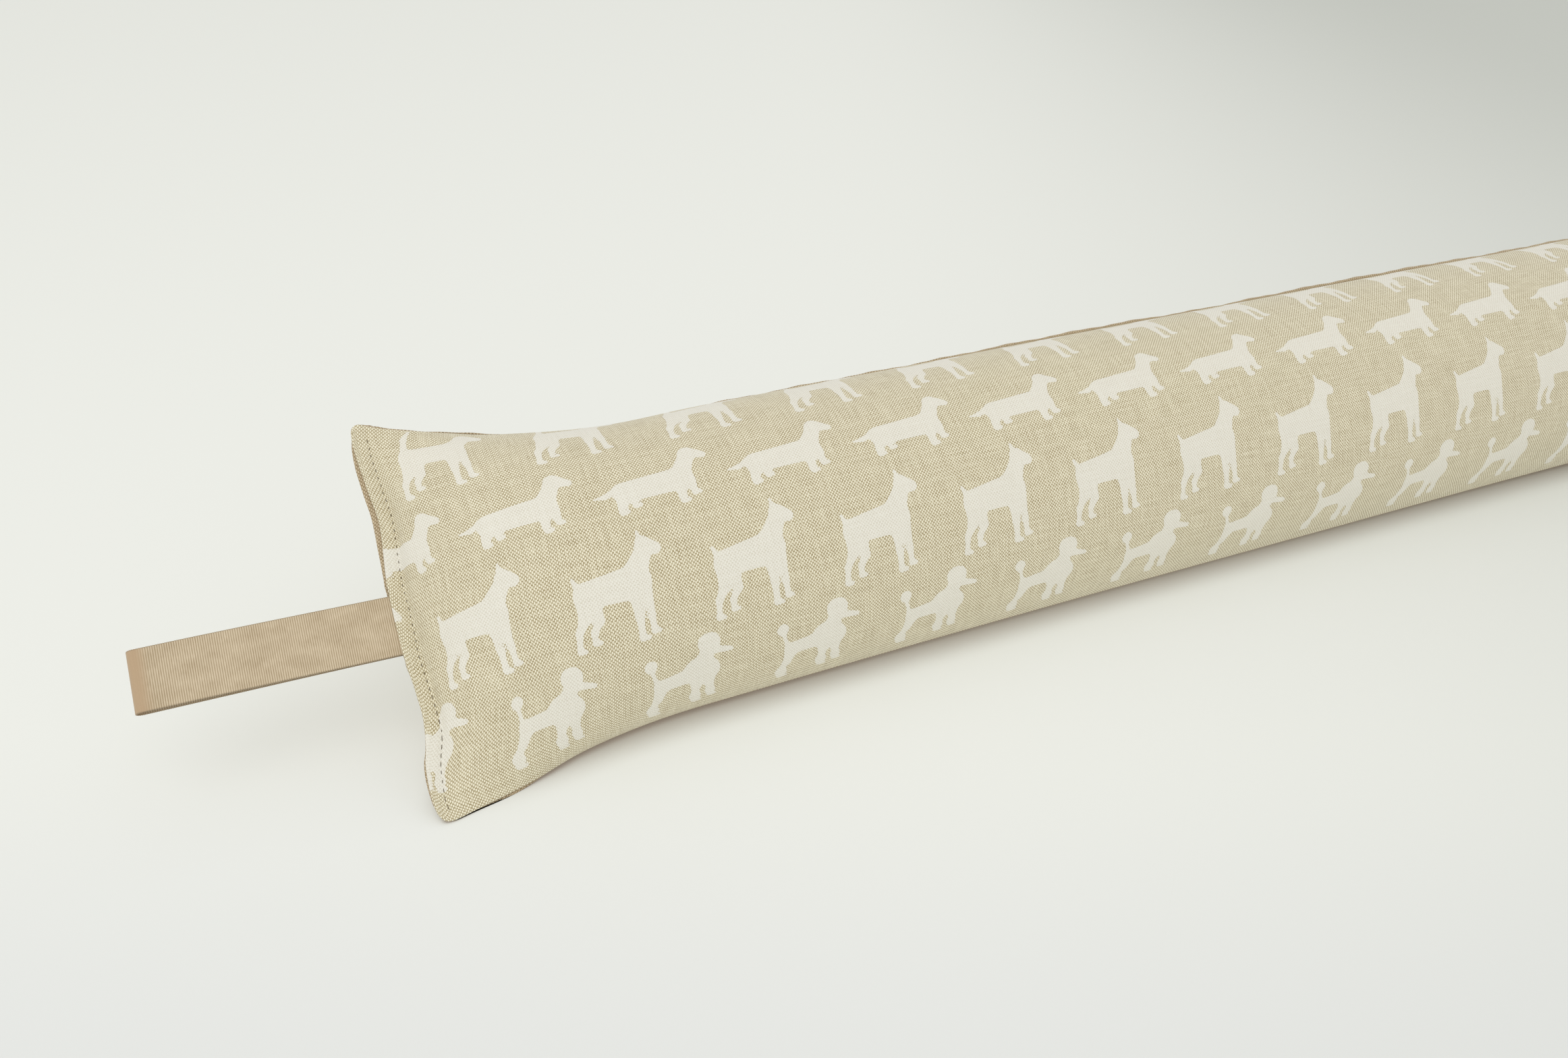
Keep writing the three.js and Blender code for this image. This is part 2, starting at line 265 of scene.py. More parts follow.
def smooth_curve(x, at, value):
    """Smooth curve through the values given at some places."""
    at, value = np.array(at, float), np.array(value, float)
    rows = np.arange(len(at))
    before, after = np.maximum(rows - 1, 0), np.minimum(rows + 1, len(at) - 1)
    slope = (value[after] - value[before]) / (at[after] - at[before])
    i = np.clip(np.searchsorted(at, x, side="right") - 1, 0, len(at) - 2)
    span = at[i + 1] - at[i]
    t = np.clip((x - at[i]) / span, 0, 1)
    start_bend = span * slope[i] * t * (1 - t) ** 2
    end_bend = span * slope[i + 1] * t * t * (1 - t)
    return value[i] * (1 - ease(t)) + value[i + 1] * ease(t) + start_bend - end_bend


def unit(vectors):
    return vectors / np.linalg.norm(vectors, axis=1)[:, None]


def square_to(vectors, way):
    """The part of each vector that is square to a unit vector."""
    return vectors - (vectors * way).sum(1)[:, None] * way


def run_along(line):
    """How far along a line of points each of them is."""
    return np.concatenate([[0], np.cumsum(np.linalg.norm(np.diff(line, axis=0), axis=1))])


def read_rows(at, places, rows):
    """Rows of values that are given at some places, read at other places."""
    columns = rows.reshape(len(rows), -1).T
    return np.stack([np.interp(at, places, c) for c in columns], 1).reshape(len(at), *rows.shape[1:])


def end_distance(s):
    return np.minimum(s, LENGTH - s)


def spread(near, step):
    """Places along the tube: the given ones at both ends, and even steps in between."""
    near = np.array(near, float)
    count = round((LENGTH - 2 * near[-1]) / step)
    middle = np.linspace(near[-1], LENGTH - near[-1], count + 1)[1:-1]
    return np.concatenate([near, middle, LENGTH - near[::-1]])


# The stuffed tube's shape

def edge_wave(along, from_end, near):
    """How far the end's hem stands out of its smooth line here."""
    wave = smooth_curve(np.where(near, along, -along), EDGE_WAVE["along"], EDGE_WAVE["out"])
    return wave * (1 - ease(from_end / WAVE_LENGTH))


def stitch_inset(along, near):
    """How far from the hem the stitch line runs here."""
    place = np.where(near, along, -along)
    return STITCH_INSET + smooth_curve(place, STITCH_WANDER["along"], STITCH_WANDER["in"])


def half_width(from_end, across):
    upper, lower = (
        smooth_curve(from_end, SEAM_PROFILE["from_end"], SEAM_PROFILE[side]) for side in ("upper", "lower"))
    corner = np.maximum(0, 1 - from_end / CORNER_ROUND)
    return np.where(across > 0, upper, lower) - CORNER_ROUND * (1 - np.sqrt(1 - corner ** 2))


def half_depth(from_end):
    t = np.clip((from_end - MARGIN_WIDTH) / SWELL_LENGTH, 0, 1)
    return HALF_DEPTH * (1 - (1 - t) ** 2) ** 0.625


def ribbon_share(along, from_end, near):
    """1 where the ribbon's ends lie between the hems, 0 away from them."""
    beside = (np.abs(along - RIBBON_ALONG) - RIBBON_WIDTH / 2 - 1) / 5
    inside = (from_end - MARGIN_WIDTH - 2) / 6
    return np.where(near, (1 - ease(beside)) * (1 - ease(inside)), 0.0)


def margin_half(along, from_end, near):
    """Half of the seam's thickness: four layers of cloth at an end, less along a long seam."""
    end_half = CLOTH_MARGIN / 2
    half = end_half + (SEAM_HALF - end_half) * ease((from_end - SEAM_THINS[0]) / SEAM_THINS[1])
    pocket = (POCKET_HALF + POCKET_WALL - end_half) * ribbon_share(along, from_end, near)
    return half + pocket


def pucker_depth(face, along, from_end, near):
    total = np.zeros(np.broadcast(along, from_end).shape)
    sign = np.where(near, 1.0, -1.0)
    for place, depth, width, reach in zip(*PUCKERS[face].values()):
        across = (along - sign * place) / width
        start = ease((from_end - MARGIN_WIDTH) / PUCKER_START)
        fade = 1 - ease((from_end - MARGIN_WIDTH) / reach)
        total = total + depth * np.exp(-across ** 2) * start * fade
    return total


def seam_frame(s):
    """At distance s from the near end: the seam plane's middle (y, z), its direction and its normal."""
    pull = np.maximum(0, 1 - end_distance(s) / PULL_LENGTH) ** 1.5
    tilt = np.radians(TILT_DEG + (END_TILT_DEG - TILT_DEG) * pull)
    zero = np.zeros_like(tilt)
    middle = np.stack([zero, END_SHIFT_Y * pull, AXIS_HEIGHT + END_RISE * pull], -1)
    along = np.stack([zero, np.cos(tilt), np.sin(tilt)], -1)
    normal = np.stack([zero, -np.sin(tilt), np.cos(tilt)], -1)
    return middle, along, normal


def cloth_point(s, across, face):
    """A point of the cloth at distance s from the near end. across runs from -1 to 1."""
    near = s < LENGTH / 2
    from_end = end_distance(s)
    rise = smooth_curve(s, SEAM_RISE["s"], SEAM_RISE["out"])
    along = half_width(from_end, across) * across + rise * ease(across)
    power = 1 + ease(from_end / SWELL_LENGTH)
    lens = half_depth(from_end) * np.maximum(0, 1 - across ** 2) ** (1 / power)
    lip = margin_half(along, from_end, near)
    dip_depth, dip_width = STITCH_DIP
    dip = dip_depth * np.exp(-((from_end - stitch_inset(along, near)) / dip_width) ** 2)
    crease = pucker_depth(face, along, from_end, near)
    out = np.maximum(np.hypot(lens, lip) - crease, lip) - dip
    out = out if face == "front" else -out
    flare = np.where(across > 0, UPPER_FLARE, LOWER_FLARE)
    outward = (EDGE_OUT + flare * across ** 4) * (1 - ease(from_end / FLARE_LENGTH))
    outward = outward + edge_wave(along, from_end, near)
    middle, along_way, normal = seam_frame(s)
    point = middle + along[..., None] * along_way + out[..., None] * normal
    point[..., 0] = s - LENGTH / 2 + np.where(near, -outward, outward)
    return point


def on_floor(points):
    """Press what lies lower than the floor flat on it, with a soft edge to the flat strip."""
    flat = points.copy()
    flat[..., 2] = (points[..., 2] + np.sqrt(points[..., 2] ** 2 + FLOOR_SOFTNESS ** 2)) / 2
    return flat


# A panel as a grid of points: rows are sections along the tube, columns run from the lower long
# seam to the upper one, evenly along the cloth

ROWS = spread(NEAR_ROWS, ROW_STEP)


def panel_grid(face):
    fine = -np.cos(np.linspace(0, math.pi, 601))
    dense = cloth_point(ROWS[:, None], fine[None, :], face)
    step = np.linalg.norm(np.diff(dense, axis=1), axis=2)
    length = np.concatenate([np.zeros((len(ROWS), 1)), np.cumsum(step, 1)], 1)
    rows = [read_rows(np.linspace(0, at[-1], COLUMNS + 1), at, row) for at, row in zip(length, dense)]
    return np.array(rows), length[:, -1]


def smooth_at(grid, i, j):
    """The grid's value at fractional row i and column j, by smooth interpolation."""
    def weights(t):
        return np.stack([
            ((-t + 2) * t - 1) * t / 2, ((3 * t - 5) * t * t + 2) / 2,
            ((-3 * t + 4) * t + 1) * t / 2, (t - 1) * t * t / 2], -1)
    rows, columns = grid.shape[:2]
    i0 = np.clip(np.floor(i).astype(int), 0, rows - 2)
    j0 = np.clip(np.floor(j).astype(int), 0, columns - 2)
    wi, wj = weights(i - i0), weights(j - j0)
    padded = np.empty((rows + 2, columns + 2) + grid.shape[2:])
    padded[1:-1, 1:-1] = grid
    padded[0, 1:-1] = 2 * grid[0] - grid[1]
    padded[-1, 1:-1] = 2 * grid[-1] - grid[-2]
    padded[:, 0] = 2 * padded[:, 1] - padded[:, 2]
    padded[:, -1] = 2 * padded[:, -2] - padded[:, -3]
    total = 0
    for a in range(4):
        for b in range(4):
            total = total + (wi[:, a] * wj[:, b])[:, None] * padded[i0 + a, j0 + b]
    return total


def row_of(s):
    return np.interp(s, ROWS, np.arange(len(ROWS)))


def column_of(w):
    return w / PANEL_WIDTH * COLUMNS


# The cloth simulation

def sewn_tube(front_rows, back_rows):
    """The two panels between the stitch lines as one closed mesh, and its held points."""
    rows, columns = front_rows.shape[:2]
    size = rows * columns
    at = np.arange(size).reshape(rows, columns)
    quads = np.stack([at[:-1, :-1], at[1:, :-1], at[1:, 1:], at[:-1, 1:]], -1).reshape(-1, 4)
    rim = np.concatenate([at[0], at[1:, -1], at[-1, -2::-1], at[-2:0:-1, 0]])
    following = np.roll(rim, -1)
    sides = np.stack([rim, following, following + size, rim + size], 1)
    faces = np.concatenate([quads, (quads + size)[:, ::-1], sides]).tolist()
    held = np.concatenate([rim, rim + size]).tolist()
    points = np.concatenate([front_rows.reshape(-1, 3), back_rows.reshape(-1, 3)])
    return points, faces, held


def settle(points, faces, held, slack):
    """Run the cloth simulation on a helper object and return where its points end up."""
    mesh = bpy.data.meshes.new("sewn_tube")
    mesh.from_pydata((points * MM).tolist(), [], faces)
    helper = bpy.data.objects.new("sewn_tube", mesh)
    scene = bpy.context.scene
    scene.collection.objects.link(helper)
    helper.vertex_groups.new(name="held").add(held, 1.0, "REPLACE")
    gathered = helper.vertex_groups.new(name="gathered")
    for k, weight in enumerate(slack.tolist()):
        gathered.add([k], weight, "REPLACE")
    cloth = helper.modifiers.new("cloth", "CLOTH")
    for key, value in SPRINGS.items():
        setattr(cloth.settings, key, value)
    cloth.settings.effector_weights.gravity = 0
    cloth.collision_settings.use_collision = False
    cloth.point_cache.frame_start = 1
    cloth.point_cache.frame_end = SETTLE_FRAMES
    for step in range(1, SETTLE_FRAMES + 1):
        scene.frame_set(step)
    shaped = helper.evaluated_get(bpy.context.evaluated_depsgraph_get())
    moved = np.empty(len(points) * 3)
    shaped.data.vertices.foreach_get("co", moved)
    bpy.data.objects.remove(helper)
    bpy.data.meshes.remove(mesh)
    scene.frame_set(1)
    return moved.reshape(-1, 3) / MM


def softened(values, passes):
    """The values of a grid, evened out over their neighbours."""
    out = values.copy()
    for _ in range(passes):
        out[1:-1] = (out[:-2] + 2 * out[1:-1] + out[2:]) / 4
        out[:, 1:-1] = (out[:, :-2] + 2 * out[:, 1:-1] + out[:, 2:]) / 4
    return out


def press_out(front_rows, back_rows):
    """Both panels after the simulation: its creases are kept, and the tube's fitted girth too."""
    places = spread(NEAR_SPRINGS, ROW_STEP)
    i, j = np.meshgrid(row_of(places), np.arange(COLUMNS + 1, dtype=float), indexing="ij")
    start = [smooth_at(g, i.ravel(), j.ravel()).reshape(*i.shape, 3) for g in (front_rows, back_rows)]
    points, faces, held = sewn_tube(*start)
    from_end = end_distance(places)
    slack = np.repeat(1 - ease((from_end - STITCH_INSET) / SLACK_REACH), COLUMNS + 1)
    moved = settle(points, faces, held, np.tile(slack, 2))
    gain = (CREASE_GAIN + END_CREASE_GAIN * (1 - ease(from_end / END_CREASE_REACH)))[:, None, None]
    inside = ((ROWS > STITCH_INSET) & (ROWS < LENGTH - STITCH_INSET))[:, None, None]
    results = []
    for design, before, after in zip((front_rows, back_rows), start, np.split(moved, 2)):
        shift = after.reshape(before.shape) - before
        crease = gain * (shift - softened(shift, 60))
        size = np.linalg.norm(crease, axis=2, keepdims=True)
        crease = crease * SETTLE_CAP * np.tanh(size / SETTLE_CAP) / np.maximum(size, 1e-9)
        results.append(design + np.where(inside, read_rows(ROWS, places, crease), 0))
    return results


# The print

def dog_ink(kind, points):
    """How far points lie inside a dog's strokes, in millimetres, less than 0 outside them."""
    total = np.zeros(len(points))
    for stroke in DOGS[kind].values():
        for (ax, ay, ar), (bx, by, br) in zip(stroke, stroke[1:]):
            way = np.array([bx - ax, by - ay])
            rel = points - (ax, ay)
            t = np.clip(rel @ way / (way @ way), 0, 1)
            inside = ar + (br - ar) * t - np.linalg.norm(rel - t[:, None] * way, axis=1)
            total += np.exp(np.maximum(inside / STROKE_BLEND, -60))
    return STROKE_BLEND * np.log(total)


def grid_crossings(value):
    """The grid edges that the line of value 0 crosses, each with the two that it leads to."""
    links = {}
    inside = (value > 0).tolist()
    for i, j in np.ndindex(value.shape[0] - 1, value.shape[1] - 1):
        crossed = []
        for way, a, b in (("x", i, j), ("y", i + 1, j), ("x", i, j + 1), ("y", i, j)):
            c, d = (a + 1, b) if way == "x" else (a, b + 1)
            if inside[a][b] != inside[c][d]:
                crossed.append((way, a, b))
        if len(crossed) == 4:
            crossed = [crossed[0], crossed[3], crossed[1], crossed[2]]
        for first, second in zip(crossed[::2], crossed[1::2]):
            links.setdefault(first, []).append(second)
            links.setdefault(second, []).append(first)
    return links


def dog_lines(kind):
    """The closed lines round a dog, as points at even steps."""
    nodes = np.array([node[:2] for stroke in DOGS[kind].values() for node in stroke], float)
    low, high = nodes.min(0) - OUTLINE_ROOM, nodes.max(0) + OUTLINE_ROOM
    xs, ys = (np.arange(low[k], high[k], OUTLINE_GRID) for k in range(2))
    x, y = np.meshgrid(xs, ys, indexing="ij")
    value = dog_ink(kind, np.stack([x.ravel(), y.ravel()], 1)).reshape(x.shape)
    links = grid_crossings(value)
    lines = []
    while links:
        at = next(iter(links))
        loop = []
        while at in links:
            way, i, j = at
            k, m = (i + 1, j) if way == "x" else (i, j + 1)
            share = value[i, j] / (value[i, j] - value[k, m])
            loop.append((x[i, j] + share * (x[k, m] - x[i, j]), y[i, j] + share * (y[k, m] - y[i, j])))
            onward = [n for n in links.pop(at) if n in links]
            at = onward[0] if onward else None
        loop = np.array(loop + loop[:1])
        run = run_along(loop)
        count = round(run[-1] / OUTLINE_STEP)
        if count >= 5:
            even = np.arange(count) * run[-1] / count
            lines.append(read_rows(even, run, loop))
    return lines


DOG_LINES = {kind: dog_lines(kind) for kind in DOGS}


def dog_places():
    """Every printed dog that meets the panel: its kind and its rear foot's place on the cloth."""
    places = []
    for kind, (first, height) in ROW_START.items():
        for k in range(-2, int(LENGTH / PITCH) + 2):
            places.append((kind, np.array([first + PITCH * k, height])))
    return places


def ink_values(flat):
    """Distance from the print's nearest outline, in millimetres, more than 0 where it is inked."""
    ink = np.full(len(flat), -INK_RANGE)
    for kind, origin in dog_places():
        line = np.concatenate(DOG_LINES[kind]) + origin
        low, high = line.min(0) - INK_RANGE, line.max(0) + INK_RANGE
        near = np.where(((flat > low) & (flat < high)).all(1))[0]
        if len(near):
            ink[near] = np.maximum(ink[near], dog_ink(kind, flat[near] - origin))
    return np.clip(ink, -INK_RANGE, INK_RANGE)


# The panels

def end_draw(u, v):
    """How far the cloth and its print are drawn inwards where the filling swells behind an end."""
    most, centre, width, reach = LOWER_DRAW.values()
    lower = most * np.exp(-((v - centre) / width) ** 2) * (1 - ease(end_distance(u) / reach))
    most, start, width, reach = UPPER_DRAW.values()
    upper = most * ease((v - start) / width) * (1 - ease(end_distance(u) / reach))
    return (lower + upper) * np.where(u < LENGTH / 2, 1, -1)


def end_drop(u, v):
    """How far the lower rows of the print sit nearer to the lower seam close to an end."""
    most, centre, width, reach = LOWER_DROP.values()
    return most * bump((v - centre) / width) * (1 - ease(end_distance(u) / reach))


class Panel:
    """One cloth panel: where each point of the flat cloth lies on the stuffed tube."""

    def __init__(self, face, grid, widths):
        self.face = face
        self.grid = grid
        middle = len(ROWS) // 2
        step = np.linalg.norm(np.diff(grid, axis=0), axis=2)
        run = np.concatenate([np.zeros((1, COLUMNS + 1)), np.cumsum(step, 0)])
        u = run - run[middle] + ROWS[middle]
        share = 1 - GATHERED + GATHERED * widths / PANEL_WIDTH
        v = np.linspace(0, 1, COLUMNS + 1)[None, :] * (widths / share)[:, None]
        drawn = 0
        for _ in range(3):
            drawn = end_draw(u - drawn, v)
        self.flat = np.stack([u - drawn, v + end_drop(u - drawn, v)], -1)

    def flat_at(self, s, w):
        return smooth_at(self.flat, row_of(s), column_of(w))

    def point_at(self, s, w):
        return on_floor(smooth_at(self.grid, row_of(s), column_of(w)))

    def outward(self, normal):
        return normal if self.face == "front" else -normal

    def place_of(self, flat):
        """The (s, w) of points given on the flat cloth, and which of them lie off the panel."""
        s, w = flat[:, 0].copy(), flat[:, 1].copy()
        for _ in range(12):
            off = flat - self.flat_at(np.clip(s, 0, LENGTH), np.clip(w, 0, PANEL_WIDTH))
            s = np.clip(s + off[:, 0], -30, LENGTH + 30)
            w = np.clip(w + off[:, 1], -20, PANEL_WIDTH + 20)
        return s, w, np.abs(off).max(1) > 0.3


def border_places():
    """The border of a panel as one loop of (s, w), from the lower near corner along the lower seam."""
    long_side = spread(NEAR_BORDER, BORDER_STEP)
    end_side = np.linspace(0, PANEL_WIDTH, END_POINTS)
    lower = [(s, 0.0) for s in long_side]
    far = [(LENGTH, w) for w in end_side[1:]]
    upper = [(s, PANEL_WIDTH) for s in long_side[::-1][1:]]
    near_end = [(0.0, w) for w in end_side[::-1][1:-1]]
    return np.array(lower + far + upper + near_end)


def border_side(place, size):
    """-1 on the border where the place is 0, 1 where it is the whole size, and 0 between them."""
    return np.where(place == 0, -1.0, np.where(place == size, 1.0, 0.0))


BORDER = border_places()
BORDER_SIDE = np.stack([border_side(BORDER[:, 0], LENGTH), border_side(BORDER[:, 1], PANEL_WIDTH)], 1)


def inner_places(step):
    """Points all over a panel, closer together beside the stitch lines."""
    places = []
    for i, s in enumerate(spread(NEAR_POINTS, step)):
        spacing = FINE_STEP if end_distance(s) < FINE_REACH else step * 1.1
        columns = round(PANEL_WIDTH / spacing)
        shift = 0.5 if i % 2 else 0.0
        w = (np.arange(columns) + 0.25 + shift) * PANEL_WIDTH / columns
        places += [(s, x) for x in w if 0.9 < x < PANEL_WIDTH - 0.9]
    for edge in (0.35, PANEL_WIDTH - 0.35):
        places += [(s, edge) for s in np.arange(1.3, LENGTH - 1.2, BORDER_STEP)]
    return np.array(places)


def outline_places(panel):
    """The dogs' outlines on the panel: points on and beside each outline, and the outline's edges."""
    points, edges, on_outline = [], [], []
    for kind, origin, line in [(k, o, closed) for k, o in dog_places() for closed in DOG_LINES[k]]:
        way = np.roll(line, -1, 0) - np.roll(line, 1, 0)
        side = unit(np.stack([-way[:, 1], way[:, 0]], 1))
        for shift in (0, OUTLINE_SIDE, -OUTLINE_SIDE):
            ring = line + shift * side
            s, w, missed = panel.place_of(ring + origin)
            good = ~missed & (s > 0.5) & (s < LENGTH - 0.5) & (w > 0.7) & (w < PANEL_WIDTH - 0.7)
            if shift:
                good &= np.abs(dog_ink(kind, ring)) > 0.3
            index = np.full(len(ring), -1)
            index[good] = len(points) + np.arange(good.sum())
            points += list(zip(s[good], w[good]))
            if not shift:
                pairs = zip(index.tolist(), np.roll(index, -1).tolist())
                edges += [(a, b) for a, b in pairs if a >= 0 and b >= 0]
                on_outline += list(zip(s[good], w[good]))
    return np.array(points), edges, np.array(on_outline)


def clear_of(places, taken, distance):
    """The places that are at least that far from all taken ones."""
    cells = {}
    for s, w in taken:
        cells.setdefault((int(s // distance), int(w // distance)), []).append((s, w))
    kept = []
    for s, w in places:
        a, b = int(s // distance), int(w // distance)
        near = [p for i in (-1, 0, 1) for j in (-1, 0, 1) for p in cells.get((a + i, b + j), ())]
        if all((s - x) ** 2 + (w - y) ** 2 > distance ** 2 for x, y in near):
            kept.append((s, w))
    return np.array(kept)


def triangulate(places, edges):
    """Triangles over the panel's rectangle, with the border first and the edges kept."""
    all_edges = [(k, (k + 1) % len(BORDER)) for k in range(len(BORDER))]
    all_edges += [(a + len(BORDER), b + len(BORDER)) for a, b in edges]
    points = [Vector(p) for p in np.concatenate([BORDER, places])]
    found, _, faces, origin, _, _ = delaunay_2d_cdt(points, all_edges, [], 0, 1e-4)
    border_at = {}
    for k, sources in enumerate(origin):
        for source in sources:
            if source < len(BORDER):
                border_at[source] = k
    loop = [border_at[k] for k in range(len(BORDER))]
    return np.array([tuple(v) for v in found]), faces, loop


def border_ways(panel, edge):
    """Along the border: the way out of the cloth, the way out in the seam's plane, and its normal."""
    inner_s, inner_w = (BORDER - 0.5 * BORDER_SIDE).T
    tangent = unit(np.roll(edge, -1, 0) - np.roll(edge, 1, 0))
    outward = unit(square_to(edge - panel.point_at(inner_s, inner_w), tangent))
    normal = panel.outward(seam_frame(BORDER[:, 0])[2])
    side = np.cross(unit(square_to(tangent, normal)), normal)
    away = edge - np.array([0.0, 0.0, AXIS_HEIGHT])
    away[:, 0] = np.where(BORDER_SIDE[:, 0] != 0, away[:, 0] * 10, 0)
    side *= np.sign((side * away).sum(1))[:, None]
    return outward, side, normal


def hem_rows(panel, ends_at):
    """The panel's turned-in border: rows of points that run over its edge and into the seam."""
    s, w = BORDER.T
    edge = panel.point_at(s, w)
    outward, side, normal = border_ways(panel, edge)
    middle, along_way, _ = seam_frame(s)
    height = ((edge - middle) * normal).sum(1)
    along = ((edge - middle) * along_way).sum(1)
    from_end = end_distance(s)
    ribbon = ribbon_share(along, from_end, s < LENGTH / 2)
    gap = np.minimum(HEM_GAP + (RIBBON_STACK + 0.06 - HEM_GAP) * ribbon, height)
    turn = np.clip(-(outward * normal).sum(1), 0, 1)
    reach = (height - gap) * 0.66
    beyond = ends_at(s, along)
    p0 = edge
    p1 = p0 + (reach + beyond)[:, None] * outward
    p3 = edge - (height - gap)[:, None] * normal - (height * turn)[:, None] * side
    p3 = p3 + beyond[:, None] * side
    p2 = p3 + reach[:, None] * side
    rows = []
    for t in (0.18, 0.36, 0.54, 0.72, 0.87, 1.0):
        rows.append((1 - t) ** 3 * p0 + 3 * (1 - t) ** 2 * t * p1 + 3 * (1 - t) * t ** 2 * p2 + t ** 3 * p3)
    depth = 1.2 + 5.6 * (1 - ease((from_end - 6) / 10)) * np.where(BORDER_SIDE[:, 0] != 0, 1, 0.15)
    for share, closing in ((0.35, 1.0), (0.8, 0.9), (1.0, 0.0)):
        rows.append(p3 - (share * depth)[:, None] * side - (gap * (1 - closing))[:, None] * normal)
    for row in rows:
        row[:, 2] = np.maximum(row[:, 2], FLOOR_CLEAR)
    return rows


def front_end(s, along):
    """The front panel's hem keeps to the part's outline."""
    return np.zeros_like(s)


def back_end(s, along):
    """The back panel's hem stands out past the front one in places, and along the upper seam."""
    from_end = end_distance(s)
    hem = smooth_curve(along, BACK_SHOWS["along"], BACK_SHOWS["out"])
    sway, sway_length = BEAD_SWAY
    twist = BEAD_TWIST * np.cos(2 * math.pi * s / STITCH_PITCH)
    twist = twist + sway * np.sin(2 * math.pi * s / sway_length)
    ridge = smooth_curve(s, UPPER_BEAD["s"], UPPER_BEAD["out"]) + twist
    bead = np.where(along > 0, ridge, LOWER_BEAD * (1 - ease((from_end - 20) / 25)))
    return np.where(from_end == 0, hem, bead * ease(from_end / 6))


def make_mesh(name, points, faces):
    """A smooth mesh in metres from points in millimetres."""
    mesh = bpy.data.meshes.new(name)
    mesh.from_pydata((np.array(points) * MM).tolist(), [], faces)
    mesh.validate()
    mesh.update()
    mesh.shade_smooth()
    return mesh


def add_cloth_places(mesh, name, flat):
    """Each point's place on the flat cloth, as an attribute that the material reads."""
    layer = mesh.attributes.new(name, "FLOAT_VECTOR", "POINT")
    values = np.concatenate([flat, np.zeros((len(flat), 1))], 1)
    layer.data.foreach_set("vector", values.astype(np.float32).ravel())


def add_bake_map(mesh, flat):
    """The flat cloth laid out in two strips, one over the other."""
    layer = mesh.uv_layers.new(name="OFBake")
    loops = np.empty(len(mesh.loops), int)
    mesh.loops.foreach_get("vertex_index", loops)
    at = flat[loops]
    starts = np.array([p.loop_start for p in mesh.polygons])
    totals = np.array([p.loop_total for p in mesh.polygons])
    middle = np.add.reduceat(at[:, 0], starts) / totals
    upper = np.repeat(middle > LENGTH / 2, totals)
    margin, past_end, past_side = 0.006, 16.0, 12.0
    half = LENGTH / 2 + past_end
    u = (at[:, 0] - np.where(upper, half - past_end, -past_end)) / half
    v = (at[:, 1] + past_side) / (PANEL_WIDTH + 2 * past_side)
    uv = np.stack([u, (np.clip(v, 0, 1) + upper) / 2], 1)
    uv = margin + (1 - 2 * margin) * uv
    layer.uv.foreach_set("vector", uv.astype(np.float32).ravel())


def panel_mesh(name, panel, places, edges, ends_at):
    """The panel with its turned-in hems as a mesh, and its points' places on the flat cloth."""
    found, faces, loop = triangulate(places, edges)
    points = [panel.point_at(*found.T)]
    flats = [panel.flat_at(*found.T)]
    last_index = np.array(loop)
    last_point, last_flat = points[0][last_index], flats[0][last_index]
    edge_way = unit(BORDER_SIDE)
    count = len(found)
    for row in hem_rows(panel, ends_at):
        row_flat = last_flat + np.linalg.norm(row - last_point, axis=1)[:, None] * edge_way
        index = count + np.arange(len(loop))
        corners = [np.roll(last_index, -1), last_index, index, np.roll(index, -1)]
        faces += np.stack(corners, 1).tolist()
        points.append(row)
        flats.append(row_flat)
        count += len(loop)
        last_index, last_point, last_flat = index, row, row_flat
    if panel.face == "back":
        faces = [f[::-1] for f in faces]
    mesh = make_mesh(name, np.concatenate(points), faces)
    flat = np.concatenate(flats)
    add_cloth_places(mesh, "cloth", flat)
    add_bake_map(mesh, flat)
    return mesh, flat


# The ribbon loop

def ribbon_path():
    """The ribbon's outer face from one end round the fold to the other: out, level and normal."""
    fold_radius = FOLD_HALF_GAP + RIBBON_THICK
    straight = RIBBON_REACH - fold_radius
    step = RIB_PITCH / 4
    out = np.arange(-ROOT_DEPTH, straight, step)
    gap = ROOT_HALF_GAP + (FOLD_HALF_GAP - ROOT_HALF_GAP) * ease(out / straight)
    turn = np.linspace(0, math.pi, round(math.pi * fold_radius / step) + 1)
    fold = np.stack([straight + fold_radius * np.sin(turn), fold_radius * np.cos(turn)], 1)
    top = np.stack([out, gap + RIBBON_THICK], 1)
    line = np.concatenate([top, fold, (top * (1, -1))[::-1]])
    way = np.gradient(line, axis=0)
    normal = unit(np.stack([-way[:, 1], way[:, 0]], 1))
    run = run_along(line)
    line[:, 1] -= RIBBON_SAG * (np.maximum(0, line[:, 0]) / RIBBON_REACH) ** 2
    return line, normal, run


def ribbon_place(out, level, side):
    """From out of the seam, level across the layers and side along the seam."""
    lean = math.radians(RIBBON_LEAN_DEG)
    middle, along_way, up_way = seam_frame(np.array(0.0))
    seat = middle + RIBBON_ALONG * along_way - np.array([LENGTH / 2, 0, 0])
    leaned_out = out * math.cos(lean) - side * math.sin(lean)
    leaned_side = out * math.sin(lean) + side * math.cos(lean)
    return (seat + leaned_out[..., None] * np.array([-1.0, 0, 0]) + leaned_side[..., None] * along_way
            + level[..., None] * up_way)


def ribbon_faces(count, wide):
    """The faces of a bar of two layers, the outer one first, each of count rows of wide points."""
    size = count * wide
    faces = []
    for i in range(count - 1):
        for j in range(wide - 1):
            a = i * wide + j
            faces.append((a, a + 1, a + wide + 1, a + wide))
            faces.append((size + a, size + a + wide, size + a + wide + 1, size + a + 1))
        for j in (0, wide - 1):
            a, b = i * wide + j, (i + 1) * wide + j
            quad = (a, b, size + b, size + a)
            faces.append(quad if j == 0 else quad[::-1])
    for i in (0, count - 1):
        for j in range(wide - 1):
            a = i * wide + j
            quad = (a, size + a, size + a + 1, a + 1)
            faces.append(quad if i == 0 else quad[::-1])
    return faces


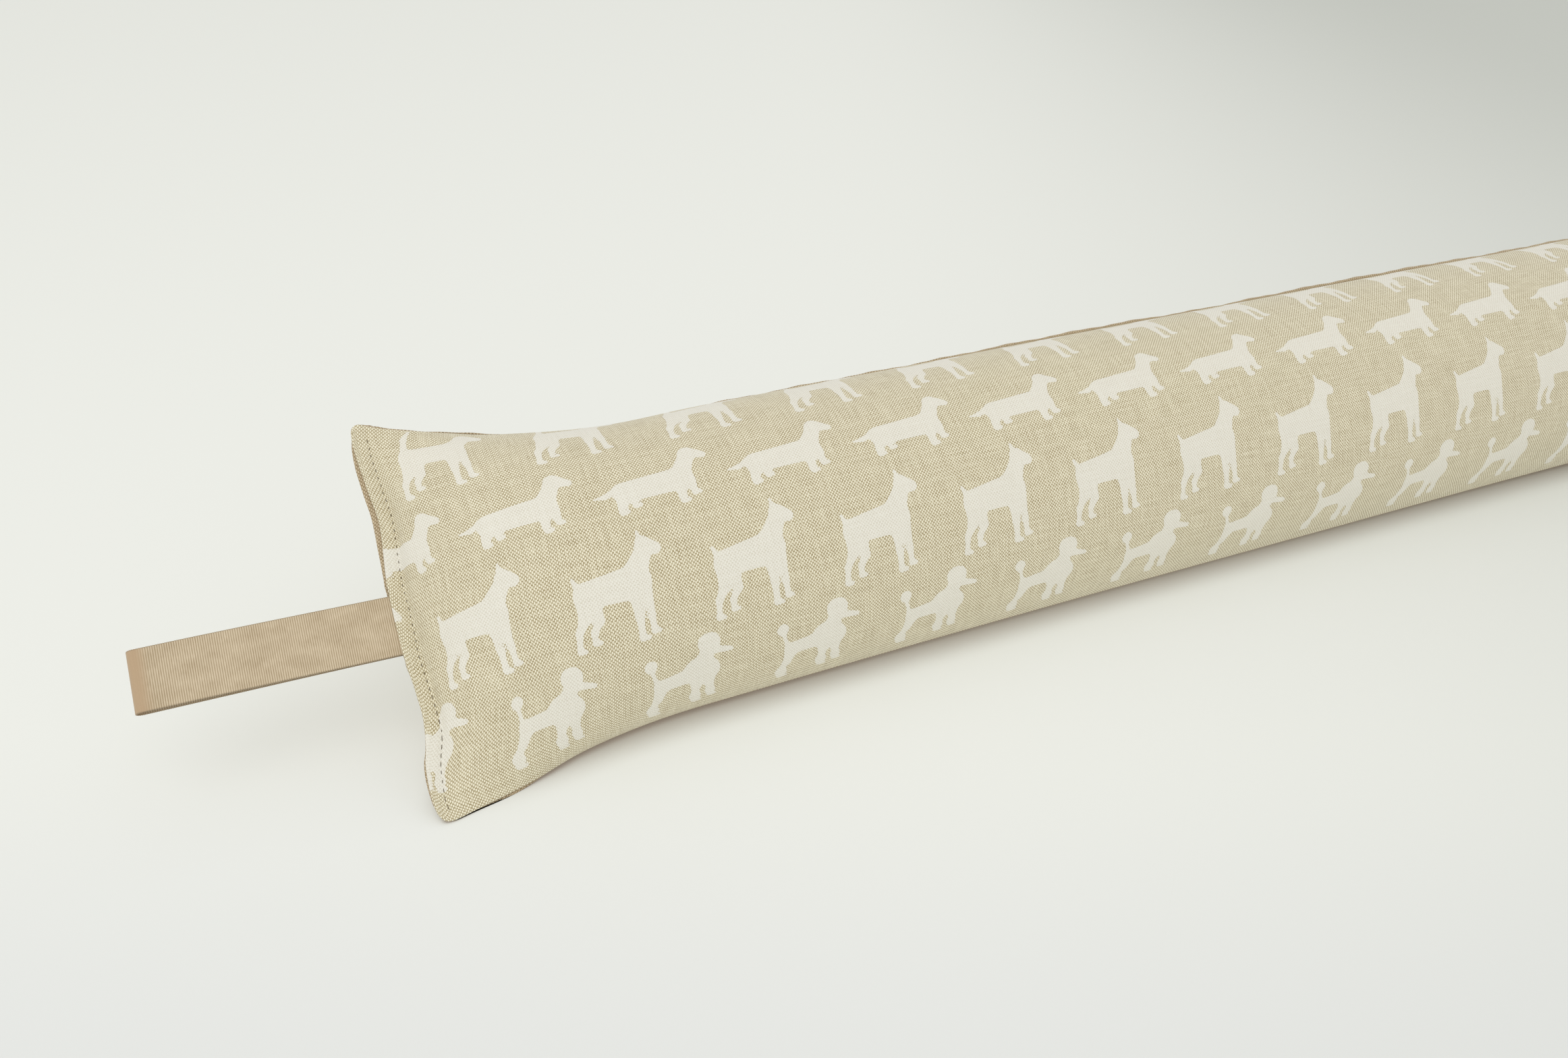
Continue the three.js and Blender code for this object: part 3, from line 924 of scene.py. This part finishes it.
def ribbon_mesh():
    """The folded ribbon with its ribs, and its whole length."""
    line, normal, run = ribbon_path()
    wave = np.cos(2 * math.pi * run / RIB_PITCH)
    columns = np.array([-1, -0.975, -0.6, 0, 0.6, 0.975, 1]) * RIBBON_WIDTH / 2
    lift = np.array([-0.12, 0, 0, 0, 0, 0, -0.12])
    rise = (RIB_RISE * wave)[:, None] + lift[None, :] - RIB_RISE
    outer = line[:, None, :] + normal[:, None, :] * rise[..., None]
    inner = line - normal * RIBBON_SHOWN_THICK
    count, wide = len(line), len(columns)
    side = np.tile(columns, (count, 1))
    side[:, 0] -= RIB_SCALLOP * wave
    side[:, -1] += RIB_SCALLOP * wave
    upper = ribbon_place(outer[..., 0], outer[..., 1], side)
    lower = ribbon_place(np.tile(inner[:, :1], (1, wide)), np.tile(inner[:, 1:], (1, wide)), side)
    points = np.concatenate([upper.reshape(-1, 3), lower.reshape(-1, 3)])
    mesh = make_mesh("ribbon_loop_woven", points, ribbon_faces(count, wide))
    flat = np.stack([np.tile(run[:, None], (1, wide)), side], -1).reshape(-1, 2)
    add_cloth_places(mesh, "ribbon", np.concatenate([flat, flat]))
    return mesh, float(run[-1])


# The stitches

def thread_piece(centre, normal, first):
    """One stitch: a short thread that thins towards its ends. first is its first point's number."""
    steps, sides = len(centre), 6
    side = np.cross(unit(np.gradient(centre, axis=0)), normal)
    points, faces = [], []
    for k in range(steps):
        from_middle = abs(2 * k / (steps - 1) - 1)
        radius = THREAD_RADIUS * (1 - 0.55 * from_middle ** 4)
        for m in range(sides):
            angle = 2 * math.pi * m / sides
            points.append(centre[k] + radius * (math.cos(angle) * side[k] + math.sin(angle) * normal[k]))
    for k in range(steps - 1):
        for m in range(sides):
            a, b = first + k * sides + m, first + k * sides + (m + 1) % sides
            faces.append((a, b, b + sides, a + sides))
    faces.append(tuple(first + m for m in reversed(range(sides))))
    faces.append(tuple(first + (steps - 1) * sides + m for m in range(sides)))
    return points, faces


def stitch_line(panel, near):
    """Where the stitches run across an end, from the lower corner to the upper one."""
    w = np.linspace(2.0, PANEL_WIDTH - 2.0, 400)
    even = np.full(len(w), STITCH_INSET if near else LENGTH - STITCH_INSET)
    middle, along_way, _ = seam_frame(even)
    inset = stitch_inset(((panel.point_at(even, w) - middle) * along_way).sum(1), near)
    return inset if near else LENGTH - inset, w


def stitches(panels):
    """Rows of machine stitches across both ends of each panel."""
    dice = np.random.default_rng(7)
    points, faces = [], []
    for panel, near in [(panel, near) for panel in panels for near in (True, False)]:
        line_s, line_w = stitch_line(panel, near)
        run = run_along(panel.point_at(line_s, line_w))
        for start in np.arange(1.2, run[-1] - 3.5, STITCH_PITCH):
            low = 1 - ease((start - 30) / 40)
            length = STITCH_LENGTH + LOW_STITCH_EXTRA * low + dice.uniform(-0.3, 0.3)
            sway = dice.uniform(-0.12, 0.12)
            t = np.linspace(0, 1, 7)
            w = np.interp(start + (STITCH_PITCH - length) / 2 + t * length, run, line_w)
            s = np.interp(w, line_w, line_s)
            normal = panel.outward(seam_frame(s)[2])
            lift = THREAD_RISE * np.sin(math.pi * t) ** 0.7 - THREAD_SUNK
            centre = panel.point_at(s + sway, w) + lift[:, None] * normal
            more, quads = thread_piece(centre, normal, len(points))
            points += more
            faces += quads
    return make_mesh("end_topstitching", points, faces)


# Materials

class Nodes:
    """A short way to write a material's nodes."""

    def __init__(self, name):
        self.material = bpy.data.materials.new(name)
        self.material.use_nodes = True
        self.tree = self.material.node_tree
        self.tree.nodes.clear()
        self.shader = self.add("ShaderNodeBsdfPrincipled")
        output = self.add("ShaderNodeOutputMaterial")
        self.link(self.shader.outputs["BSDF"], output.inputs["Surface"])

    def add(self, kind, **settings):
        node = self.tree.nodes.new(kind)
        for key, value in settings.items():
            setattr(node, key, value)
        return node

    def link(self, a, b):
        self.tree.links.new(a, b)

    def feed(self, socket, value):
        if isinstance(value, bpy.types.NodeSocket):
            self.link(value, socket)
        else:
            socket.default_value = value

    def surface(self, values):
        """Set the shader's own sockets, by name."""
        for name, value in values.items():
            self.feed(self.shader.inputs[name], value)

    def math(self, operation, a, b=0.0, c=0.0):
        node = self.add("ShaderNodeMath", operation=operation)
        for socket, value in zip(node.inputs, (a, b, c)):
            self.feed(socket, value)
        return node.outputs[0]

    def about_zero(self, value, gain):
        """A value that runs from 0 to 1, as one that runs gain / 2 to each side of 0."""
        return self.math("MULTIPLY_ADD", value, gain, -gain / 2)

    def vector(self, operation, vector, other, output="Vector"):
        node = self.add("ShaderNodeVectorMath", operation=operation)
        self.link(vector, node.inputs[0])
        node.inputs[1].default_value = other
        return node.outputs[output]

    def attribute(self, name, output="Vector"):
        return self.add("ShaderNodeAttribute", attribute_name=name).outputs[output]

    def split(self, vector):
        node = self.add("ShaderNodeSeparateXYZ")
        self.link(vector, node.inputs[0])
        return node.outputs["X"], node.outputs["Y"]

    def noise(self, vector, factors, detail=2.0):
        node = self.add("ShaderNodeTexNoise")
        self.link(self.vector("MULTIPLY", vector, factors), node.inputs["Vector"])
        node.inputs["Scale"].default_value = 1.0
        node.inputs["Detail"].default_value = detail
        return node.outputs["Fac"]

    def shelter(self, distance, low, high):
        """0 where something stands close over the surface, 1 in the open."""
        node = self.add("ShaderNodeAmbientOcclusion", samples=8)
        node.inputs["Distance"].default_value = distance
        return self.smooth(node.outputs["AO"], low, high)

    def mix(self, factor, a, b):
        node = self.add("ShaderNodeMix", data_type="RGBA")
        for k, value in ((0, factor), (6, a), (7, b)):
            self.feed(node.inputs[k], value)
        return node.outputs[2]

    def smooth(self, value, low, high):
        node = self.add("ShaderNodeMapRange", interpolation_type="SMOOTHSTEP")
        self.link(value, node.inputs["Value"])
        node.inputs["From Min"].default_value = low
        node.inputs["From Max"].default_value = high
        return node.outputs["Result"]

    def bump(self, height, strength, distance):
        node = self.add("ShaderNodeBump")
        node.inputs["Strength"].default_value = strength
        node.inputs["Distance"].default_value = distance
        self.link(height, node.inputs["Height"])
        self.link(node.outputs["Normal"], self.shader.inputs["Normal"])


def srgb(r, g, b):
    """A colour given as 0 to 255, as a linear one."""
    def linear(x):
        x = x / 255
        return x / 12.92 if x <= 0.04045 else ((x + 0.055) / 1.055) ** 2.4
    return (linear(r), linear(g), linear(b), 1.0)


# The dark colours fill the gaps between the yarns: partly the cloth's own tone, partly painted shade
PRINTED_LINEN = {"light": srgb(248, 242, 220), "mid": srgb(215, 206, 177), "dark": srgb(161, 145, 110)}
BACKING = {"light": srgb(214, 198, 170), "mid": srgb(186, 167, 136), "dark": srgb(140, 120, 90)}
PRINT_FACE = srgb(237, 234, 223)
# Painted shade: the white print is darker where the weave dips under it
PRINT_DIP_SHADE = srgb(212, 206, 190)
RIB_TOP = srgb(220, 203, 175)
# Painted shade in the grooves between the ribbon's ribs
RIB_GROOVE_SHADE = srgb(160, 139, 107)
# Painted shade on the ribbon's rounded fold
RIBBON_FOLD_SHADE = srgb(186, 160, 128)
RIBBON_EDGE = srgb(120, 100, 74)
THREAD_DARK = srgb(70, 58, 42)
THREAD_PALE = srgb(120, 104, 80)
FLOOR_BASE = (0.53, 0.535, 0.52, 1)
# Painted contact shadow: the reddish brown laid on the floor right under the tube
FLOOR_CONTACT_SHADOW = srgb(120, 88, 68)
# The floor's glow is painted light, weaker towards the right where the light falls off
FLOOR_GLOW = (0.34, 0.345, 0.315, 1)
FLOOR_GLOW_RIGHT = (0.11, 0.12, 0.095, 1)


def linen(name, light, mid, dark, printed):
    """Plain-woven linen: pale yarns that rise by turns, with darker gaps between them that are partly the
    cloth's own tone and partly painted shade, and with slubs and flecks.
    """
    n = Nodes(name)
    cloth = n.attribute("cloth")
    u, v = n.split(cloth)
    shift = n.math("MULTIPLY", n.noise(cloth, (0.22, 0.22, 0)), 2.4)
    leaned = n.math("MULTIPLY_ADD", v, -2 * math.pi * YARN_LEAN, shift)
    across = n.math("COSINE", n.math("MULTIPLY_ADD", u, math.pi / YARN_PITCH[0], leaned))
    along = n.math("COSINE", n.math("MULTIPLY_ADD", v, math.pi / YARN_PITCH[1], shift))
    over = n.math("MULTIPLY", across, along)
    column = n.math("MULTIPLY", across, across)
    weave = n.math("MULTIPLY_ADD", over, 0.54, n.about_zero(column, 0.44))
    slubs = n.math("ADD", n.noise(cloth, (0.07, 1.3, 0)), n.noise(cloth, (1.3, 0.07, 0)))
    slub = n.math("MULTIPLY_ADD", slubs, 0.42, -0.42)
    fleck = n.noise(cloth, (2.0, 2.0, 0))
    tone = n.math("ADD", n.math("ADD", weave, 0.5), slub)
    tone = n.math("ADD", tone, n.about_zero(fleck, 0.76))
    # Where the weave's tone is low, between the yarns, the dark colour is partly painted shade
    low = n.mix(n.smooth(tone, 0.05, 0.5), dark, mid)
    colour = n.mix(n.smooth(tone, 0.45, 0.95), low, light)
    height = n.math("MULTIPLY_ADD", slub, 0.5, weave)
    if printed:
        ragged = n.math("ADD", n.attribute("ink", "Fac"), n.about_zero(fleck, 0.7))
        inked = n.smooth(n.math("ADD", ragged, n.math("MULTIPLY", over, 0.12)), -0.10, 0.12)
        # Painted shade: the white print darkens where the weave's tone is low, in its dips
        white = n.mix(n.smooth(tone, -0.1, 0.7), PRINT_DIP_SHADE, PRINT_FACE)
        colour = n.mix(inked, colour, white)
        height = n.math("MULTIPLY", height, n.math("MULTIPLY_ADD", inked, -0.6, 1.0))
    n.surface({"Base Color": colour, "Roughness": 0.9, "Sheen Weight": 0.25,
               "Sheen Roughness": 0.5, "Specular IOR Level": 0.2})
    n.bump(height, 0.6, 0.00016)
    return n.material


def grosgrain():
    """Ribbed ribbon with a soft sheen, with painted shade in the grooves between its ribs and across its
    fold.
    """
    n = Nodes("grosgrain_ribbon")
    way = n.attribute("ribbon")
    run, side = n.split(way)
    groove = n.math("COSINE", n.math("MULTIPLY", run, 2 * math.pi / RIB_PITCH))
    fibre = n.noise(way, (3.2, 0.35, 0), 3)
    cloud = n.noise(way, (0.08, 0.16, 0))
    tone = n.math("MULTIPLY_ADD", groove, 0.26, 0.5)
    tone = n.math("ADD", tone, n.about_zero(fibre, 0.5))
    tone = n.math("ADD", tone, n.about_zero(cloud, 0.5))
    # The grooves between the ribs are painted darker than the rib tops: painted shade
    colour = n.mix(n.smooth(tone, 0.0, 1.0), RIB_GROOVE_SHADE, RIB_TOP)
    # Painted shade: the ribbon turns darker across its rounded fold
    from_fold = n.math("ABSOLUTE", n.math("SUBTRACT", run, FOLD_PLACE))
    colour = n.mix(n.smooth(from_fold, 8.0, 3.0), colour, RIBBON_FOLD_SHADE)
    edge = n.smooth(n.math("ABSOLUTE", side), 11.4, 12.0)
    colour = n.mix(n.math("MULTIPLY", edge, 0.45), colour, RIBBON_EDGE)
    n.surface({"Base Color": colour, "Roughness": 0.62, "Sheen Weight": 0.2, "Specular IOR Level": 0.35})
    n.bump(fibre, 0.2, 0.0001)
    return n.material


def thread():
    """Dark thread, mottled by its twist."""
    n = Nodes("sewing_thread")
    place = n.add("ShaderNodeTexCoord").outputs["Object"]
    tone = n.noise(place, (2500, 2500, 2500))
    n.surface({"Base Color": n.mix(tone, THREAD_DARK, THREAD_PALE), "Roughness": 0.7})
    n.bump(tone, 0.3, 0.0001)
    return n.material


def pale_floor():
    """A pale matt surface that glows a little, so that shadows on it stay light; the glow is painted light,
    and painted shadow darkens it and the surface close under the tube.
    """
    n = Nodes("pale_floor")
    place = n.add("ShaderNodeTexCoord").outputs["Object"]
    # The glow fades towards the right and dims towards the camera: painted falloff of light
    rightward = n.vector("DOT_PRODUCT", place, (0.92, -0.39, 0), "Value")
    nearward = n.vector("DOT_PRODUCT", place, (-0.39, -0.92, 0), "Value")
    glow = n.mix(n.smooth(rightward, -0.25, 0.75), FLOOR_GLOW, FLOOR_GLOW_RIGHT)
    dimmed = n.vector("MULTIPLY", glow, (0.77, 0.78, 0.85))
    glow = n.mix(n.smooth(nearward, 0.17, 0.36), glow, dimmed)
    shade = n.vector("MULTIPLY", glow, (0.5, 0.45, 0.4))
    n.surface({
        # Painted contact shadow: the base colour turns reddish brown close under the tube
        "Base Color": n.mix(n.shelter(0.004, 0.1, 0.6), FLOOR_CONTACT_SHADOW, FLOOR_BASE),
        # Painted shadow: the glow drops to a darker shade where the tube stands over the floor
        "Emission Color": n.mix(n.shelter(0.014, 0.2, 0.95), shade, glow),
        "Emission Strength": 1.0, "Roughness": 0.9, "Specular IOR Level": 0.1,
    })
    return n.material


# The pieces

def add_object(name, data, place=(0, 0, 0)):
    thing = bpy.data.objects.new(name, data)
    thing.location = place
    bpy.context.scene.collection.objects.link(thing)
    return thing


def add_piece(name, mesh, material):
    mesh.materials.append(material)
    piece = add_object(name, mesh)
    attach(piece, BODY)
    return piece


def add_cover():
    """The two sewn panels. They are returned, for the stitches to lie on."""
    front_grid, front_widths = panel_grid("front")
    back_grid, back_widths = panel_grid("back")
    front_grid, back_grid = press_out(front_grid, back_grid)
    front = Panel("front", front_grid, front_widths)
    back = Panel("back", back_grid, back_widths)
    outlines, edges, on_outline = outline_places(front)
    places = np.concatenate([outlines, clear_of(inner_places(FRONT_STEP), on_outline, OUTLINE_CLEAR)])
    front_mesh, front_flat = panel_mesh("front_panel", front, places, edges, front_end)
    ink = front_mesh.attributes.new("ink", "FLOAT", "POINT")
    ink.data.foreach_set("value", ink_values(front_flat).astype(np.float32))
    back_mesh, _ = panel_mesh("back_panel", back, inner_places(BACK_STEP), [], back_end)
    printed_linen = linen("printed_linen", printed=True, **PRINTED_LINEN)
    plain_backing = linen("plain_backing", printed=False, **BACKING)
    front_piece = add_piece("front_panel", front_mesh, printed_linen)
    back_piece = add_piece("back_panel", back_mesh, plain_backing)
    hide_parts("stuffed_tube")
    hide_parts("stuffed_tube")
    return front, back


def add_ribbon():
    loop_mesh, loop_length = ribbon_mesh()
    loop_piece = add_piece("ribbon_loop_woven", loop_mesh, grosgrain())
    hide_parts("ribbon_loop")


# Floor, light and camera

FLOOR_HALF = 6.0
SOFTBOX_PLACE = (-0.9, -0.9, 1.7)
SOFTBOX_SIZE = 2.0
SOFTBOX_POWER = 13
SOFTBOX_COLOUR = (1.0, 0.995, 0.98)
WORLD_COLOUR = (1.0, 1.0, 0.98, 1)
WORLD_STRENGTH = 0.76
CAMERA_PLACE = (-0.4424, -0.4179, 0.3452)
CAMERA_FORWARD = (0.32964, 0.77190, -0.54361)
CAMERA_LENS = 28.24
SENSOR_WIDTH = 36.0


def add_floor():
    mesh = bpy.data.meshes.new("floor")
    corners = [(x * FLOOR_HALF, y * FLOOR_HALF, 0) for x, y in ((-1, -1), (1, -1), (1, 1), (-1, 1))]
    mesh.from_pydata(corners, [], [(0, 1, 2, 3)])
    mesh.materials.append(pale_floor())
    floor = add_object("floor", mesh)


def turned_to(way):
    return Vector(way).to_track_quat("-Z", "Y").to_euler()


def add_light():
    data = bpy.data.lights.new("softbox", "AREA")
    data.shape = "RECTANGLE"
    data.size = SOFTBOX_SIZE
    data.size_y = SOFTBOX_SIZE
    data.energy = SOFTBOX_POWER
    data.color = SOFTBOX_COLOUR
    add_object("softbox", data, SOFTBOX_PLACE).rotation_euler = turned_to(-Vector(SOFTBOX_PLACE))
    world = bpy.data.worlds.new("studio")
    world.use_nodes = True
    background = world.node_tree.nodes["Background"]
    background.inputs["Color"].default_value = WORLD_COLOUR
    background.inputs["Strength"].default_value = WORLD_STRENGTH
    bpy.context.scene.world = world


def add_camera():
    data = bpy.data.cameras.new("camera")
    data.lens = CAMERA_LENS
    data.sensor_width = SENSOR_WIDTH
    data.sensor_fit = "HORIZONTAL"
    data.clip_start = 0.01
    camera = add_object("camera", data, CAMERA_PLACE)
    camera.rotation_euler = turned_to(CAMERA_FORWARD)
    bpy.context.scene.camera = camera


sewn_panels = add_cover()
add_ribbon()
add_piece("end_topstitching", stitches(sewn_panels), thread())
add_floor()
add_light()
add_camera()
bpy.context.scene.view_settings.view_transform = "Standard"
